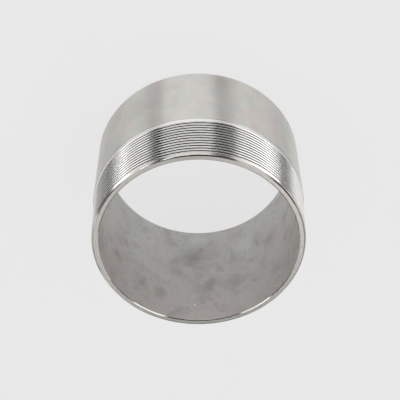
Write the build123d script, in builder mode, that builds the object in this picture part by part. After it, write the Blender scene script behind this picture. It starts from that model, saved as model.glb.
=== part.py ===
"""A stainless weld nipple: a short length of pipe, turned and taper threaded at one end.

The plain end is welded into a pipeline or a tank, and the threaded end takes a valve, a socket
or a cap. The whole thing is one turned piece.

The origin is at the centre of the weld end, which the nipple stands on, and +Z runs along the
pipe's axis towards the threaded end. All sizes are in millimetres.
"""

import os
from math import atan, ceil, degrees, radians, tan

from build123d import *

# The pipe
pipe_diameter = 114.3
wall_thickness = 5.0
nipple_length = 80.0
weld_edge_break = 0.3  # small chamfer on the outer edge of the weld end

# The taper thread, a right-hand pipe thread of 11 turns to the inch
thread_pitch = 25.4 / 11
thread_angle = 55.0  # between the two flanks
thread_taper = 1 / 16  # growth of the diameter for each millimetre of length
gauge_length = 25.4  # from the threaded end to the gauge plane
gauge_cut = 0.635  # turned off the pipe's radius in the gauge plane, down to the crests
crest_cut = 1 / 6  # share of the sharp triangle cut away at the crest, and at the root
thread_length = 29.2  # from the threaded end to where the last full turn ends
thread_start_angle = 270.0  # where the groove leaves the end face, about the axis
runout_turns = 0.3  # the groove fades out over this share of a turn

# The turned land and edges
land_length = 1.5  # plain stretch between the thread's run-out and the foot of the shoulder
shoulder_angle = 45.0  # slope of the shoulder, from the axis
lead_chamfer = 1.2  # at the mouth of the thread, most of the way down to its root
bore_chamfer = 0.5  # deburred edge of the bore at the threaded end

# How the groove is cut: the first pass leaves the end face, and the rest follow on from it
lead_in_turns = 1.0  # of the groove's path, in the air above the end face
first_pass_turns = 1.5
pass_turns = 2.25
tool_overhang = 0.15  # height of the cutting section above the crests

# Lengths and radii that follow from the sizes above
runout_height = runout_turns * thread_pitch
turned_length = thread_length + runout_height + land_length
pipe_radius = pipe_diameter / 2
bore_radius = pipe_radius - wall_thickness
gauge_radius = pipe_radius - gauge_cut
half_angle = radians(thread_angle / 2)
sharp_height = thread_pitch / (2 * tan(half_angle))
thread_depth = sharp_height * (1 - 2 * crest_cut)
root_flat = 2 * crest_cut * sharp_height * tan(half_angle)
radius_growth = thread_taper / 2
cone_angle = degrees(atan(radius_growth))


def crest_radius(depth):
    """Radius over the thread's crests, at a depth below the threaded end."""
    return gauge_radius + (depth - gauge_length) * radius_growth


def groove_path(depth, turns, slope_angle, radius):
    """A stretch of the groove's root line, a conical helix that runs down from a depth."""
    path = Helix(
        thread_pitch,
        turns * thread_pitch,
        radius,
        center=(0, 0, nipple_length - depth),
        direction=(0, 0, -1),
        cone_angle=slope_angle,
    )
    turned_so_far = (depth + lead_in_turns * thread_pitch) / thread_pitch
    return Rot(0, 0, thread_start_angle - 360 * turned_so_far) * path


def groove_section(path):
    """The cutting section at the start of a path: the gap between two turns of the thread."""
    start = path @ 0
    outwards = Vector(start.X, start.Y, 0).normalized()
    section_plane = Plane(origin=start, x_dir=outwards, z_dir=Vector(0, 0, 1).cross(outwards))
    reach = thread_depth + tool_overhang
    half_root = root_flat / 2
    half_mouth = half_root + reach * tan(half_angle)
    with BuildSketch(section_plane) as section:
        with BuildLine():
            Polyline(
                (0, -half_root), (reach, -half_mouth), (reach, half_mouth), (0, half_root), close=True
            )
        make_face()
    return section.sketch.faces()[0]


def groove_pass(section, path):
    """One pass of the tool, and the section at its end, which the next pass starts from."""
    with BuildPart() as swept:
        sweep(sections=section, path=path, is_frenet=True)
    ends = swept.part.faces().filter_by(GeomType.PLANE)
    return swept.part, ends.sort_by_distance(path @ 1)[0]


# The groove of the thread, as the passes that cut it
groove_passes = []
depth_reached = -lead_in_turns * thread_pitch
groove_turns = (thread_length - depth_reached) / thread_pitch
further_passes = ceil((groove_turns - first_pass_turns) / pass_turns)
further_turns = (groove_turns - first_pass_turns) / further_passes
section_reached = None
for turns in [first_pass_turns] + [further_turns] * further_passes:
    root_radius = crest_radius(depth_reached) - thread_depth
    stretch = groove_path(depth_reached, turns, cone_angle, root_radius)
    if section_reached is None:
        section_reached = groove_section(stretch)
    cut, section_reached = groove_pass(section_reached, stretch)
    groove_passes.append(cut)
    depth_reached += turns * thread_pitch

# The last stretch climbs out through the crests, where the tool is drawn back
runout_rise = thread_depth + 2 * tool_overhang
runout_slope = degrees(atan(runout_rise / runout_height))
root_radius = crest_radius(depth_reached) - thread_depth
stretch = groove_path(depth_reached, runout_turns, runout_slope, root_radius)
cut, section_reached = groove_pass(section_reached, stretch)
groove_passes.append(cut)

# The turned blank, revolved from its half section, then the thread cut into it
with BuildPart() as weld_nipple:
    shoulder_foot = nipple_length - turned_length
    shoulder_drop = pipe_radius - crest_radius(turned_length)
    shoulder_height = shoulder_drop / tan(radians(shoulder_angle))
    with BuildSketch(Plane.XZ) as half_section:
        with BuildLine():
            Polyline(
                (bore_radius, 0),
                (pipe_radius, 0),
                (pipe_radius, shoulder_foot - shoulder_height),
                (crest_radius(turned_length), shoulder_foot),
                (crest_radius(0), nipple_length),
                (bore_radius, nipple_length),
                close=True,
            )
        make_face()
    revolve(axis=Axis.Z)
    end_edges = weld_nipple.edges().filter_by(GeomType.CIRCLE).group_by(Axis.Z)
    chamfer(end_edges[0].sort_by(SortBy.RADIUS)[-1], length=weld_edge_break)
    chamfer(end_edges[-1].sort_by(SortBy.RADIUS)[-1], length=lead_chamfer)
    chamfer(end_edges[-1].sort_by(SortBy.RADIUS)[0], length=bore_chamfer)
    for cut in groove_passes:
        add(cut, mode=Mode.SUBTRACT)

weld_nipple.part.label = "weld_nipple"

os.makedirs("parts", exist_ok=True)
export_step(weld_nipple.part, "parts/weld_nipple.step")
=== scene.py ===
"""Looks of a stainless weld nipple: satin pipe outside, matt bore, bright turned taper thread."""

import math

import bpy
import numpy as np
from mathutils import Matrix, Vector


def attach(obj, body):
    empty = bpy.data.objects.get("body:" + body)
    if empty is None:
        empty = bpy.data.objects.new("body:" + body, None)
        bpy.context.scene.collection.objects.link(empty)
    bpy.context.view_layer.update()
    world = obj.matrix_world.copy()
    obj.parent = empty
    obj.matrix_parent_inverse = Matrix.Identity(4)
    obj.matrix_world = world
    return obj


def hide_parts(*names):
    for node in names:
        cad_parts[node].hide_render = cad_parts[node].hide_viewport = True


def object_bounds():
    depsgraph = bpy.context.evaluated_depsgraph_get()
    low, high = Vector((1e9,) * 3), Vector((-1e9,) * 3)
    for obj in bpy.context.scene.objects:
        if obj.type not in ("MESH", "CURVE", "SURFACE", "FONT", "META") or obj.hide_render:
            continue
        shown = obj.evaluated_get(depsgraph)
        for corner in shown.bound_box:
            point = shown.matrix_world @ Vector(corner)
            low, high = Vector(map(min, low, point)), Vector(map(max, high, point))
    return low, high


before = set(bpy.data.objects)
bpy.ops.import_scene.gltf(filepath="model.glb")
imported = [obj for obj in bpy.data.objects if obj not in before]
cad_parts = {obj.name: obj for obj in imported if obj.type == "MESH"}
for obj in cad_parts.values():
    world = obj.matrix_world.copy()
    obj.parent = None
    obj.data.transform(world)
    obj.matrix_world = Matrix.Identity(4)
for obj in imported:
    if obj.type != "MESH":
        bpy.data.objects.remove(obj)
cad_low, cad_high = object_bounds()

NODE = "weld_nipple"
BODY = "root"

# Sizes of the nipple, in metres. Depths are measured down from the threaded end.
MM = 0.001
LENGTH = cad_high.z
PIPE_RADIUS = cad_high.x
WALL = 5.0 * MM
BORE_RADIUS = PIPE_RADIUS - WALL

# The taper thread: 11 turns to the inch, 55 degrees between the flanks, 1 in 16 on the diameter.
# The standard gives its depth and the rounding of its crests and roots as shares of the pitch.
INCH = 25.4 * MM
PITCH = INCH / 11
HALF_ANGLE = math.radians(55 / 2)
THREAD_DEPTH = 0.640327 * PITCH
ROUNDING = 0.137329 * PITCH
RADIUS_GROWTH = 1 / 32
GAUGE_CUT = 0.635 * MM
CREST_AT_END = PIPE_RADIUS - GAUGE_CUT - INCH * RADIUS_GROWTH
THREAD_LENGTH = 29.2 * MM
GROOVE_START = 90 / 360  # where the groove leaves the end face, as a share of a turn from +X
RUNOUT_TURNS = 0.3
RUNOUT_RISE = THREAD_DEPTH + 0.3 * MM

# The turned land, the shoulder and the edges
LAND_LENGTH = 2.3 * MM
TURNED_LENGTH = THREAD_LENGTH + RUNOUT_TURNS * PITCH + LAND_LENGTH
SHOULDER_ANGLE = math.radians(45)
LEAD_CHAMFER = 1.2 * MM
CHAMFER_BULGE = 0.38  # how much faster than the depth the chamfer grows, where it starts
BORE_CHAMFER = 0.5 * MM
WELD_EDGE_BREAK = 0.3 * MM
EDGE_ROUNDING = 0.1 * MM

# How finely the surface is made
COLUMNS = 240
ARC_STEPS = 3
FLANK_STEPS = 4
CORNER_STEPS = 3
SHARP_ANGLE = math.radians(35)
SPARE_TURNS = 3  # turns of the groove past each end, which lie on the ends' edges
SAME_PLACE = 0.001 * MM
NEARLY = 0.02 * MM

# The finishes, in the order of the body's material slots
THREAD, LAND, PIPE, BORE, FACE, EDGE, MOUTH = range(7)

# How the thread is shaded, with painted shade: half the groove's mouth, the share of the depth that
# counts as crest, and how far down the first flank seems to lie, which stands free above the chamfer
HALF_MOUTH = 0.43 * PITCH
CREST_SHARE = 0.06
FREE_FLANK_SHADE = 0.25

# Colours of the steel
BRIGHT_STEEL = (0.93, 0.92, 0.89, 1)
LAND_STEEL = (0.96, 0.955, 0.94, 1)
FACED_STEEL = (0.67, 0.64, 0.59, 1)
MOUTH_STEEL = (0.29, 0.285, 0.27, 1)
EDGE_STEEL = (0.58, 0.57, 0.555, 1)
DULL_GREY = (0.60, 0.59, 0.565, 1)
COOL_GREY = (0.69, 0.718, 0.678, 1)
WARM_GREY = (0.745, 0.695, 0.662, 1)
PIPE_BROWN = (0.60, 0.57, 0.51, 1)
PIPE_MAUVE = (0.70, 0.65, 0.64, 1)
# Painted shade down the thread's grooves, on the flanks that face the mouth
GROOVE_DARK = (0.022, 0.02, 0.015, 1)
BORE_GREEN = (0.571, 0.58, 0.549, 1)
BORE_PINK = (0.685, 0.633, 0.622, 1)
BORE_DARK = (0.33, 0.325, 0.305, 1)
BORE_PALE = (0.72, 0.72, 0.70, 1)
WHITE_FLECK = (0.95, 0.95, 0.93, 1)

# Noise mostly lies between these two values
NOISE_LOW = 0.3
NOISE_HIGH = 0.7

# The soft spots that the photograph shows on the pipe and in its bore, and how ragged they are.
# A spot has a direction, in degrees from the camera's side towards -X, a depth below the threaded
# end and a size, both in millimetres, its colour, and how much of it shows.
RAGGED_SCALE = 160.0
RAGGED_BY = 6.0 * MM
SPOT_CORE = 0.2  # share of a spot's size that shows fully
PIPE_SPOTS = [
    (13, 73, 11, PIPE_BROWN, 0.65),
    (-35, 57, 12, PIPE_BROWN, 0.55),
    (42, 57, 13, PIPE_MAUVE, 0.6),
    (-22, 63, 9, PIPE_MAUVE, 0.6),
    (-13, 67, 5, PIPE_BROWN, 0.55),
    (0, 44, 12, PIPE_MAUVE, 0.4),
]
BORE_SPOTS = [
    (205, 20, 6, BORE_DARK, 0.45),
    (159, 29, 9, BORE_DARK, 0.4),
    (181, 58, 14, BORE_DARK, 0.35),
    (239, 27, 5, BORE_DARK, 0.45),
    (128, 49, 9, BORE_DARK, 0.3),
    (218, 20, 4, BORE_DARK, 0.3),
    (149, 61, 10, BORE_PALE, 0.25),
    (181, 73, 7, BORE_PALE, 0.3),
    (211, 62, 14, BORE_PALE, 0.2),
]
BORE_FLECK = (183, 13.4, 0.9, WHITE_FLECK, 0.9)

# The studio: a pale floor that shows almost at its own colour, an even sky, and cards round it
FLOOR_HALF = 8.0
PALE = (0.79, 0.79, 0.79, 1)
PALE_GLOW = (0.85, 0.85, 0.85, 1)
GLOW_SHARE = 0.85
SKY = (0.9, 0.9, 0.9, 1)
CARD_DISTANCE = 3.2
CARD_LEVEL = 0.06  # above the floor, where the cards' heights are measured from

# Each card: its name, the directions and the heights that it spans, in degrees, and its strength.
# The bright ones are soft boxes, and the dark ones are flags, which make the dark bands.
LOW = (-3, 22)
MIDDLE = (22, 44)
HIGH = (44, 74)
BACK_LOW = (-3, 30)
BACK_FLAG = (15, 62)
CARDS = [
    ("front_low", -30, 15, LOW, 3.0),
    ("front_flag", -34, 20, (22, 56), 0.03),
    ("front_high", -40, 20, (56, 78), 0.95),
    ("right_flag_low", 15, 27, LOW, 0.15),
    ("right_near_low", 27, 42, LOW, 1.5),
    ("right_low", 42, 66, LOW, 0.25),
    ("right_far_low", 66, 91, LOW, 0.35),
    ("right_flag", 20, 36, MIDDLE, 0.03),
    ("right_near_middle", 36, 50, MIDDLE, 1.8),
    ("right_middle", 50, 70, MIDDLE, 1.65),
    ("right_far_middle", 70, 91, MIDDLE, 0.21),
    ("right_near_high", 20, 46, HIGH, 0.21),
    ("right_high", 46, 60, HIGH, 1.01),
    ("right_higher", 60, 74, HIGH, 1.36),
    ("right_far_high", 74, 91, HIGH, 2.4),
    ("right_back_flag", 91, 99, BACK_FLAG, 0.24),
    ("right_back_low", 99, 140, BACK_LOW, 0.81),
    ("left_flag_low", -46, -30, LOW, 0.1),
    ("left_near_low", -62, -46, LOW, 0.4),
    ("left_low", -78, -62, LOW, 0.05),
    ("left_far_low", -94, -78, LOW, 0.5),
    ("left_flag", -44, -34, MIDDLE, 0.15),
    ("left_near_middle", -60, -44, MIDDLE, 1.56),
    ("left_middle", -76, -60, MIDDLE, 1.76),
    ("left_far_middle", -94, -76, MIDDLE, 0.13),
    ("left_near_high", -52, -40, HIGH, 0.03),
    ("left_high", -78, -52, HIGH, 0.88),
    ("left_far_high", -94, -78, HIGH, 2.22),
    ("left_back_flag", -112, -94, BACK_FLAG, 0.18),
    ("left_back_low", -140, -112, BACK_LOW, 0.5),
    ("back_low", 140, 220, (15, 48), 0.14),
    ("back_high_right", 140, 172, (48, 72), 1.76),
    ("back_high", 172, 188, (48, 72), 0.03),
    ("back_high_left", 188, 220, (48, 72), 1.31),
]

# The photograph's view, which looks down at the threaded end and is turned half round
CAMERA_ELEVATION = math.radians(55.06)
CAMERA_ROLL = math.radians(179.403)
CAMERA_DISTANCE = 0.5985
CAMERA_AIM = (-0.85 * MM, 0, 39.6 * MM)
CAMERA_LENS = 98.07


def crest_radius(depth):
    """Radius over the thread's crests: it grows by 1 in 32 with the depth below the end face."""
    return CREST_AT_END + depth * RADIUS_GROWTH


def mouth_radius(depth):
    """Radius of the chamfer at the mouth of the thread.

    It starts below the crests by the chamfer's size, and grows as fast as the depth on average,
    faster near the end face and slower near the thread, so the chamfer bulges a little.
    """
    left = np.clip(1 - depth / LEAD_CHAMFER, 0, None)
    return CREST_AT_END - LEAD_CHAMFER + depth * (1 + CHAMFER_BULGE * left)


def half_section():
    """Half a pitch of the thread, from the middle of the root to the middle of the crest.

    It gives offsets along the axis and depths below the crests. The flank is straight, at half the
    thread's angle from square to the axis. The root and the crest are arcs of the rounding radius
    that touch it: a point at angle a lies the radius times sin(a) along from the arc's middle, and
    the radius times 1 - cos(a) in from its top.
    """
    arc = np.linspace(0, math.pi / 2 - HALF_ANGLE, ARC_STEPS + 1)
    root_along = ROUNDING * np.sin(arc)
    root_below = THREAD_DEPTH - ROUNDING * (1 - np.cos(arc))
    crest_along = PITCH / 2 - ROUNDING * np.sin(arc[::-1])
    crest_below = ROUNDING * (1 - np.cos(arc[::-1]))
    share = np.linspace(0, 1, FLANK_STEPS + 1)[1:-1]
    flank_along = root_along[-1] + share * (crest_along[0] - root_along[-1])
    flank_below = root_below[-1] + share * (crest_below[0] - root_below[-1])
    along = np.concatenate([root_along, flank_along, crest_along])
    below = np.concatenate([root_below, flank_below, crest_below])
    return along, below


def threaded_rows():
    """Depths and radii of the chamfer, thread and land, a row for each line of the helix.

    A row follows the groove: its depth is the groove's depth where it starts, plus the row's
    offset in the section, less one pitch for each turn. Its radius is the crest's radius less the
    section's depth there, plus the rise of the run-out, cut back by the chamfer. Rows past either
    end lie on that end's edge. The third result is the share of painted shade, for the flanks that
    face the mouth: how far a point lies below the crest above it, as a share of the thread's depth.
    The chamfer cuts the first crest down, so the first flank has a fixed share of painted shade at
    least. The fourth says which finish a point has.
    """
    along, below = half_section()
    offsets = np.concatenate([-along[:0:-1], along[:-1]])[None, :, None]
    groove_count = math.ceil(TURNED_LENGTH / PITCH) + 2 * SPARE_TURNS
    starts = PITCH * (GROOVE_START + np.arange(groove_count) - SPARE_TURNS)[:, None, None]
    turn = np.linspace(0, 1, COLUMNS + 1)[None, None, :]
    groove = starts - PITCH * turn + 0 * offsets
    depth = np.clip(groove + offsets, 0, TURNED_LENGTH).reshape(-1, COLUMNS + 1)
    groove = groove.reshape(-1, COLUMNS + 1)
    from_groove = np.abs((depth - groove + PITCH / 2) % PITCH - PITCH / 2)
    section = np.interp(from_groove, along, below)
    faded = np.clip((groove - THREAD_LENGTH) / (RUNOUT_TURNS * PITCH), 0, 1)
    sunk = np.clip(section - faded * RUNOUT_RISE, 0, None)
    radius = np.minimum(crest_radius(depth) - sunk, mouth_radius(depth))

    # Painted shade: how far a point lies below the crest above it, on the flanks that face the mouth
    crest_above = np.clip(groove - HALF_MOUTH, 0, None)
    height_above = np.minimum(crest_radius(crest_above), mouth_radius(crest_above))
    in_groove = section > faded * RUNOUT_RISE
    below_crest = np.clip((height_above - radius) / THREAD_DEPTH, 0, 1) * in_groove
    stands_free = height_above < crest_radius(crest_above)
    faces_mouth = depth >= groove
    shaded = np.maximum(below_crest, FREE_FLANK_SHADE * stands_free) * faces_mouth

    on_chamfer = crest_radius(depth) - sunk > radius
    on_crest = (sunk < CREST_SHARE * THREAD_DEPTH) | (faded >= 1)
    finish = np.select([on_chamfer, on_crest], [MOUTH, LAND], THREAD)
    return depth, radius, shaded, finish


def rounded(corners):
    """A line of corners, depth and radius each, with every inner corner replaced by an arc.

    The arc is a blend of the tangent points and the corner, (1-s)^2, 2s(1-s) and s^2 of them. A
    point is added on both sides, past the arc, which keeps the straight stretches looking straight.
    """
    points = [np.array(corners[0])]
    for before, corner, after in zip(corners, corners[1:], corners[2:]):
        before, corner, after = np.array(before), np.array(corner), np.array(after)
        back = (before - corner) / np.linalg.norm(before - corner)
        onward = (after - corner) / np.linalg.norm(after - corner)
        start, end = corner + back * EDGE_ROUNDING, corner + onward * EDGE_ROUNDING
        s = np.linspace(0, 1, CORNER_STEPS + 1)[:, None]
        points.append(start + back * EDGE_ROUNDING / 2)
        points.extend((1 - s) ** 2 * start + 2 * s * (1 - s) * corner + s**2 * end)
        points.append(end + onward * EDGE_ROUNDING / 2)
    points.append(np.array(corners[-1]))
    return np.array(points)


def plain_rows():
    """Depths, radii and finishes of the rest: shoulder, pipe, weld end, bore and end face."""
    land_radius = crest_radius(TURNED_LENGTH)
    shoulder_top = TURNED_LENGTH + (PIPE_RADIUS - land_radius) / math.tan(SHOULDER_ANGLE)
    line = rounded([
        (TURNED_LENGTH, land_radius),
        (shoulder_top, PIPE_RADIUS),
        (LENGTH - WELD_EDGE_BREAK, PIPE_RADIUS),
        (LENGTH, PIPE_RADIUS - WELD_EDGE_BREAK),
        (LENGTH, BORE_RADIUS),
        (BORE_CHAMFER, BORE_RADIUS),
        (0, BORE_RADIUS + BORE_CHAMFER),
        (0, CREST_AT_END - LEAD_CHAMFER),
    ])
    depth, radius = line[1:, 0], line[1:, 1]
    on_shoulder = (radius > land_radius - NEARLY) & (depth < shoulder_top + NEARLY) & (depth > NEARLY)
    on_pipe = (np.abs(radius - PIPE_RADIUS) < NEARLY) & (depth > shoulder_top)
    in_bore = (np.abs(radius - BORE_RADIUS) < NEARLY) & (depth > BORE_CHAMFER)
    on_end = (depth < NEARLY) | (depth > LENGTH - NEARLY)
    finish = np.select([on_shoulder, on_pipe, in_bore, on_end], [FACE, PIPE, BORE, FACE], EDGE)
    return depth, radius, finish


def across_faces(values):
    """The mean of a grid's values over each face's four corners. The last row meets the first."""
    beside = (values[:, :-1] + values[:, 1:]) / 2
    return (beside + np.roll(beside, -1, axis=0)) / 2


def closed_surface(name, depth, radius, sunk, finish):
    """A mesh from a grid of depths and radii, with a column for each step round the axis.

    A point is the radius times cos(angle), the radius times sin(angle), and the length less the
    depth. The last row meets the first, points that coincide are made one, and a face that has
    lost a corner to that becomes a triangle, or goes if it has lost more, so the surface is closed.
    """
    angle = np.linspace(0, 2 * math.pi, COLUMNS + 1)
    points = np.stack([radius * np.cos(angle), radius * np.sin(angle), LENGTH - depth], axis=-1)
    points = points.reshape(-1, 3)
    places = np.round(points / SAME_PLACE).astype(np.int64)
    _, kept, index = np.unique(places, axis=0, return_index=True, return_inverse=True)
    index = index.reshape(radius.shape)
    after = np.roll(index, -1, axis=0)
    corners = [index[:, :-1], after[:, :-1], after[:, 1:], index[:, 1:]]
    quads = np.stack(corners, axis=-1).reshape(-1, 4)
    doubled = quads == np.roll(quads, -1, axis=1)
    crossed = (quads[:, 0] == quads[:, 2]) | (quads[:, 1] == quads[:, 3])
    four = (doubled.sum(axis=1) == 0) & ~crossed
    three = (doubled.sum(axis=1) == 1) & ~crossed
    triangles = quads[three][~doubled[three]].reshape(-1, 3)
    mesh = bpy.data.meshes.new(name)
    mesh.from_pydata(points[kept].tolist(), [], quads[four].tolist() + triangles.tolist())
    slots = finish.reshape(-1)
    slots = np.concatenate([slots[four], slots[three]]).astype(np.int32)
    mesh.polygons.foreach_set("material_index", slots)
    # The share of painted shade in the thread's grooves, kept on each point for the thread's material
    sunk_in = mesh.attributes.new("sunk_in", "FLOAT", "POINT")
    sunk_in.data.foreach_set("value", sunk.reshape(-1)[kept].astype(np.float32))
    mesh.set_sharp_from_angle(angle=SHARP_ANGLE)
    mesh.update()
    piece = bpy.data.objects.new(name, mesh)
    bpy.context.scene.collection.objects.link(piece)
    return piece


def nipple_surface():
    """The whole skin of the nipple: the threaded rows, then the plain ones back to the start.

    A threaded face is the chamfer's where most of its corners are, and the land's or a crest's
    where all of them are. A plain face has the lower-numbered finish of the rows beside it.
    """
    depth, radius, sunk, finish = threaded_rows()
    plain_depth, plain_radius, plain_finish = plain_rows()
    all_round = np.ones((1, COLUMNS + 1))
    is_mouth = across_faces((finish == MOUTH).astype(float))[:-1] > 0.5
    is_land = across_faces((finish == LAND).astype(float))[:-1] > 0.99
    threaded_finish = np.select([is_mouth, is_land], [MOUTH, LAND], THREAD)
    rest_finish = np.minimum(np.append(EDGE, plain_finish), np.append(plain_finish, FACE))
    rest_finish = rest_finish[:, None] * np.ones((1, COLUMNS), int)
    return closed_surface(
        "nipple_body",
        np.concatenate([depth, plain_depth[:, None] * all_round]),
        np.concatenate([radius, plain_radius[:, None] * all_round]),
        # The plain rows get no painted groove shade
        np.concatenate([sunk, 0 * plain_radius[:, None] * all_round]),
        np.concatenate([threaded_finish, rest_finish]),
    )


def add(material, kind, sockets=None, **settings):
    """A new node of a material. An input that is given a socket is linked, and others are set."""
    made = material.node_tree.nodes.new(kind)
    for setting, value in settings.items():
        setattr(made, setting, value)
    for name, value in (sockets or {}).items():
        put(material, made.inputs[name], value)
    return made


def put(material, socket, value):
    """Links an input to another node's output, or sets it to a plain value."""
    if isinstance(value, bpy.types.NodeSocket):
        material.node_tree.links.new(value, socket)
    else:
        socket.default_value = value


def spread(material, value, from_low, from_high, to_low, to_high):
    """A value carried from one range to another and kept inside it."""
    names = ("Value", "From Min", "From Max", "To Min", "To Max")
    sockets = dict(zip(names, (value, from_low, from_high, to_low, to_high)))
    return add(material, "ShaderNodeMapRange", sockets).outputs[0]


def rising(material, value, begins, full, most=1.0):
    """A share that is nothing up to where it begins, and the most where it is full and beyond."""
    return spread(material, value, begins, full, 0.0, most)


def varied(material, value, low, high):
    """A plain value that noise varies from low to high."""
    return spread(material, value, NOISE_LOW, NOISE_HIGH, low, high)


def combined(material, operation, first, second):
    """Two numbers added or multiplied, or the larger of them."""
    return add(material, "ShaderNodeMath", {0: first, 1: second}, operation=operation).outputs[0]


def mixed(material, share, first, second):
    """A colour between two others."""
    mix = add(material, "ShaderNodeMix", data_type="RGBA")
    put(material, mix.inputs[0], share)
    put(material, mix.inputs[6], first)
    put(material, mix.inputs[7], second)
    return mix.outputs[2]


def object_place(material):
    """The place of a point on the nipple."""
    return add(material, "ShaderNodeTexCoord").outputs["Object"]


def noise(material, sizes, detail):
    """Noise whose grains are as long along x, y and z as the sizes, in millimetres."""
    scale = [1 / (size * MM) for size in sizes]
    sockets = {"Vector": object_place(material), "Scale": scale}
    stretched = add(material, "ShaderNodeMapping", sockets).outputs[0]
    sockets = {"Vector": stretched, "Scale": 1.0, "Detail": detail, "Roughness": 0.6}
    return add(material, "ShaderNodeTexNoise", sockets).outputs["Fac"]


def rings(material, width, length):
    """Noise in rings round the axis: a ring's width, and the length it changes over, in mm."""
    sockets = {0: object_place(material), 1: (1, 1, 0)}
    flat = add(material, "ShaderNodeVectorMath", sockets, operation="MULTIPLY").outputs[0]
    out = add(material, "ShaderNodeVectorMath", {0: flat}, operation="LENGTH").outputs["Value"]
    parts = add(material, "ShaderNodeSeparateXYZ", {0: flat}).outputs
    x = combined(material, "MULTIPLY", parts[0], 1 / (length * MM))
    y = combined(material, "MULTIPLY", parts[1], 1 / (length * MM))
    z = combined(material, "MULTIPLY", out, 1 / (width * MM))
    stretched = add(material, "ShaderNodeCombineXYZ", {0: x, 1: y, 2: z}).outputs[0]
    return add(material, "ShaderNodeTexNoise", {"Vector": stretched, "Scale": 1.0}).outputs["Fac"]


def spotted(material, place, colour, radius, spot):
    """A colour with one soft spot on a round wall of some radius."""
    direction, depth, size, spot_colour, share = spot
    turn = math.radians(direction)
    middle = (-radius * math.sin(turn), -radius * math.cos(turn), LENGTH - depth * MM)
    away = add(material, "ShaderNodeVectorMath", {0: place, 1: middle}, operation="DISTANCE")
    core, size = SPOT_CORE * size * MM, size * MM
    shown = spread(material, away.outputs["Value"], core, size, share, 0.0)
    return mixed(material, shown, colour, spot_colour)


def blotted(material, colour, radius, spots):
    """A colour with soft spots, their outlines broken up by noise."""
    place = object_place(material)
    sockets = {"Vector": place, "Scale": RAGGED_SCALE, "Detail": 4.0}
    ragged = add(material, "ShaderNodeTexNoise", sockets).outputs["Color"]
    sockets = {0: ragged, 1: (RAGGED_BY,) * 3, 2: (-RAGGED_BY / 2,) * 3}
    shift = add(material, "ShaderNodeVectorMath", sockets, operation="MULTIPLY_ADD").outputs[0]
    sockets = {0: place, 1: shift}
    warped = add(material, "ShaderNodeVectorMath", sockets, operation="ADD").outputs[0]
    for spot in spots:
        colour = spotted(material, warped, colour, radius, spot)
    return colour


def steel(name, anisotropy):
    """A bare steel whose highlights spread along the pipe, or outwards on an end face."""
    material = bpy.data.materials.new(name)
    material.use_nodes = True
    shader = material.node_tree.nodes["Principled BSDF"]
    shader.inputs["Metallic"].default_value = 1.0
    shader.inputs["Anisotropic"].default_value = anisotropy
    shader.inputs["Anisotropic Rotation"].default_value = 0.25
    if anisotropy:
        around = add(material, "ShaderNodeTangent", direction_type="RADIAL", axis="Z")
        put(material, shader.inputs["Tangent"], around.outputs[0])
    return material, shader


def finish_with(material, shader, colour, roughness, height, depth):
    """Puts a colour, a roughness and a bump of some depth, in millimetres, into a steel."""
    bump = add(material, "ShaderNodeBump", {"Height": height, "Distance": depth * MM})
    put(material, shader.inputs["Base Color"], colour)
    put(material, shader.inputs["Roughness"], roughness)
    put(material, shader.inputs["Normal"], bump.outputs[0])
    return material


def satin_pipe():
    """The pipe's outside: brushed round, with cloudy tints that run along it and faint streaks."""
    material, shader = steel("satin_pipe", 1.0)
    clouds = noise(material, (9, 9, 14), detail=3.0)
    stains = noise(material, (7, 7, 12), detail=5.0)
    streaks = noise(material, (20, 20, 0.9), detail=5.0)
    tint = mixed(material, rising(material, clouds, 0.42, 0.58), COOL_GREY, WARM_GREY)
    stained = mixed(material, rising(material, stains, 0.42, 0.64, 0.55), tint, DULL_GREY)
    streaked = mixed(material, rising(material, streaks, 0.35, 0.7, 0.25), stained, DULL_GREY)
    colour = blotted(material, streaked, PIPE_RADIUS, PIPE_SPOTS)
    roughness = varied(material, streaks, 0.37, 0.44)
    return finish_with(material, shader, colour, roughness, streaks, 0.01)


def matt_bore():
    """The bore as the mill left it: pickled and matt, clouded, with darker smudges and a grain.

    It is greener towards the weld end and pinker towards the mouth.
    """
    material, shader = steel("matt_bore", 0.0)
    clouds = noise(material, (13, 13, 17), detail=2.0)
    smudges = noise(material, (12, 12, 12), detail=3.0)
    flecks = noise(material, (4, 4, 3), detail=3.0)
    grain = noise(material, (1.2, 1.2, 1.2), detail=2.0)
    place = object_place(material)
    up = add(material, "ShaderNodeSeparateXYZ", {0: place}).outputs[2]
    mottle = combined(material, "ADD", clouds, spread(material, up, 0.0, LENGTH, -0.12, 0.12))
    tint = mixed(material, rising(material, mottle, 0.34, 0.66), BORE_GREEN, BORE_PINK)
    smudged = mixed(material, rising(material, smudges, 0.5, 0.75, 0.5), tint, BORE_DARK)
    flecked = mixed(material, rising(material, flecks, 0.58, 0.8, 0.6), smudged, BORE_DARK)
    grained = mixed(material, rising(material, grain, 0.35, 0.7, 0.16), flecked, BORE_DARK)
    with_spots = blotted(material, grained, BORE_RADIUS, BORE_SPOTS)
    colour = spotted(material, place, with_spots, BORE_RADIUS, BORE_FLECK)
    roughness = varied(material, clouds, 0.5, 0.66)
    return finish_with(material, shader, colour, roughness, grain, 0.02)


def turned_thread():
    """The thread: bright flanks with tool marks.

    The flanks that face the mouth have painted shade part way down, for the shade of the crest above.
    """
    material, shader = steel("turned_thread", 0.5)
    sunk_in = add(material, "ShaderNodeAttribute", attribute_name="sunk_in").outputs["Fac"]
    marks = noise(material, (8, 8, 1.2), detail=2.0)
    flank = mixed(material, varied(material, marks, 0.0, 0.25), BRIGHT_STEEL, DULL_GREY)
    # Painted shade: it begins a little below the crest above and eases off towards the root
    begins = rising(material, sunk_in, 0.22, 0.35)
    ends = spread(material, sunk_in, 0.68, 0.85, 1.0, 0.25)
    dark = combined(material, "MULTIPLY", begins, ends)
    colour = mixed(material, dark, flank, GROOVE_DARK)
    roughness = varied(material, marks, 0.11, 0.16)
    return finish_with(material, shader, colour, roughness, marks, 0.0004)


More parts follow.
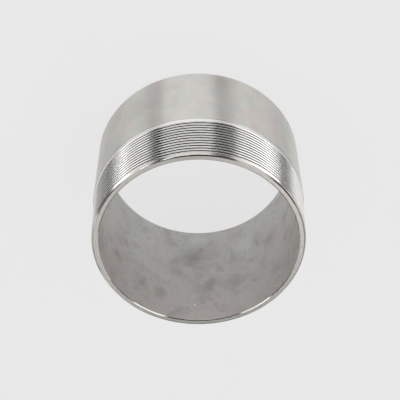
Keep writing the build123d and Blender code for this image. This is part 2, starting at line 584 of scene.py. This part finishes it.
def turned_land():
    """The land between the thread and the shoulder, and the thread's crests, turned bright."""
    material, shader = steel("turned_land", 1.0)
    marks = noise(material, (30, 30, 0.5), detail=3.0)
    colour = mixed(material, varied(material, marks, 0.0, 0.15), LAND_STEEL, DULL_GREY)
    roughness = varied(material, marks, 0.34, 0.4)
    return finish_with(material, shader, colour, roughness, marks, 0.01)


def faced_end():
    """The end faces and the shoulder: turned, with fine rings round the axis and a few scuffs."""
    material, shader = steel("faced_end", 0.6)
    turned = rings(material, 0.4, 20)
    scuffs = noise(material, (3, 3, 3), detail=4.0)
    ringed = mixed(material, varied(material, turned, 0.0, 0.3), FACED_STEEL, DULL_GREY)
    colour = mixed(material, rising(material, scuffs, 0.55, 0.75, 0.4), ringed, DULL_GREY)
    roughness = varied(material, scuffs, 0.3, 0.4)
    return finish_with(material, shader, colour, roughness, turned, 0.01)


def chamfered(name, colour, smoothest, roughest):
    """A chamfer cut with the tool's side: fine marks round it, and two ends of its roughness."""
    material, shader = steel(name, 0.3)
    marks = noise(material, (6, 6, 0.6), detail=3.0)
    marked = mixed(material, varied(material, marks, 0.0, 0.3), colour, DULL_GREY)
    roughness = varied(material, marks, smoothest, roughest)
    return finish_with(material, shader, marked, roughness, marks, 0.004)


def broken_edge():
    """The deburred edge of the bore and the broken edge of the weld end, left smooth."""
    return chamfered("broken_edge", EDGE_STEEL, 0.07, 0.13)


def chamfered_mouth():
    """The chamfer at the mouth of the thread, a little dulled."""
    return chamfered("chamfered_mouth", MOUTH_STEEL, 0.12, 0.18)


def glowing(name, strength):
    """A card that only gives light, of a plain strength."""
    material = bpy.data.materials.new(name)
    material.use_nodes = True
    nodes = material.node_tree.nodes
    nodes.remove(nodes["Principled BSDF"])
    glow = add(material, "ShaderNodeEmission", {"Color": (1, 1, 1, 1), "Strength": strength})
    put(material, nodes["Material Output"].inputs["Surface"], glow.outputs[0])
    return material


def staged(name, corners, material):
    """A flat sheet of the studio, from its four corners."""
    mesh = bpy.data.meshes.new(name)
    mesh.from_pydata([tuple(corner) for corner in corners], [], [(0, 1, 2, 3)])
    mesh.materials.append(material)
    sheet = bpy.data.objects.new(name, mesh)
    bpy.context.scene.collection.objects.link(sheet)
    return sheet


def card(name, left, right, heights, strength):
    """A card that stands upright round the nipple and glows, and that the camera doesn't see.

    It spans directions from left to right, in degrees from the camera's side towards -X, and
    heights in degrees above the cards' level, but no lower than the floor.
    """
    middle = math.radians((left + right) / 2)
    half = CARD_DISTANCE * math.tan(math.radians(right - left) / 2)
    out = CARD_DISTANCE * Vector((-math.sin(middle), -math.cos(middle), 0))
    aside = half * Vector((-math.cos(middle), math.sin(middle), 0))
    low, high = (CARD_LEVEL + CARD_DISTANCE * math.tan(math.radians(up)) for up in heights)
    bottom, top = Vector((0, 0, max(0.0, low))), Vector((0, 0, high))
    corners = [out - aside + bottom, out + aside + bottom, out + aside + top, out - aside + top]
    staged(name, corners, glowing(name, strength)).visible_camera = False


def pale_floor():
    """The floor: it shows pale to the camera and in the metal, and it keeps a soft shadow."""
    material = bpy.data.materials.new("pale_floor")
    material.use_nodes = True
    nodes = material.node_tree.nodes
    shader = nodes["Principled BSDF"]
    shader.inputs["Base Color"].default_value = PALE
    shader.inputs["Roughness"].default_value = 1.0
    shader.inputs["Specular IOR Level"].default_value = 0.0
    glow = add(material, "ShaderNodeEmission", {"Color": PALE_GLOW, "Strength": 1.0}).outputs[0]
    path = add(material, "ShaderNodeLightPath").outputs
    seen = combined(material, "MAXIMUM", path["Is Camera Ray"], path["Is Glossy Ray"])
    seen = combined(material, "MAXIMUM", seen, path["Is Transmission Ray"])
    share = combined(material, "MULTIPLY", seen, GLOW_SHARE)
    mix = add(material, "ShaderNodeMixShader", {0: share, 1: shader.outputs[0], 2: glow})
    put(material, nodes["Material Output"].inputs["Surface"], mix.outputs[0])
    size = FLOOR_HALF
    staged("floor", [(-size, -size, 0), (size, -size, 0), (size, size, 0), (-size, size, 0)], material)


def even_sky():
    """A plain pale sky all round."""
    world = bpy.data.worlds.new("studio")
    bpy.context.scene.world = world
    world.use_nodes = True
    background = world.node_tree.nodes["Background"]
    background.inputs["Color"].default_value = SKY
    background.inputs["Strength"].default_value = 1.0


def camera():
    """The camera, on the -Y side and above the nipple."""
    data = bpy.data.cameras.new("camera")
    data.sensor_width = 36
    data.lens = CAMERA_LENS
    data.clip_end = 20
    made = bpy.data.objects.new("camera", data)
    bpy.context.scene.collection.objects.link(made)
    back = Vector((0, -math.cos(CAMERA_ELEVATION), math.sin(CAMERA_ELEVATION)))
    level = (-back).to_track_quat("-Z", "Y").to_matrix()
    turned = level @ Matrix.Rotation(CAMERA_ROLL, 3, "Z")
    place = Vector(CAMERA_AIM) + back * CAMERA_DISTANCE
    made.matrix_world = Matrix.Translation(place) @ turned.to_4x4()
    bpy.context.scene.camera = made


body = nipple_surface()
for finish in (
    turned_thread,
    turned_land,
    satin_pipe,
    matt_bore,
    faced_end,
    broken_edge,
    chamfered_mouth,
):
    body.data.materials.append(finish())
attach(body, BODY)
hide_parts(NODE)

pale_floor()
even_sky()
for name, left, right, heights, strength in CARDS:
    card(name, left, right, heights, strength)
camera()
bpy.context.scene.view_settings.view_transform = "Standard"
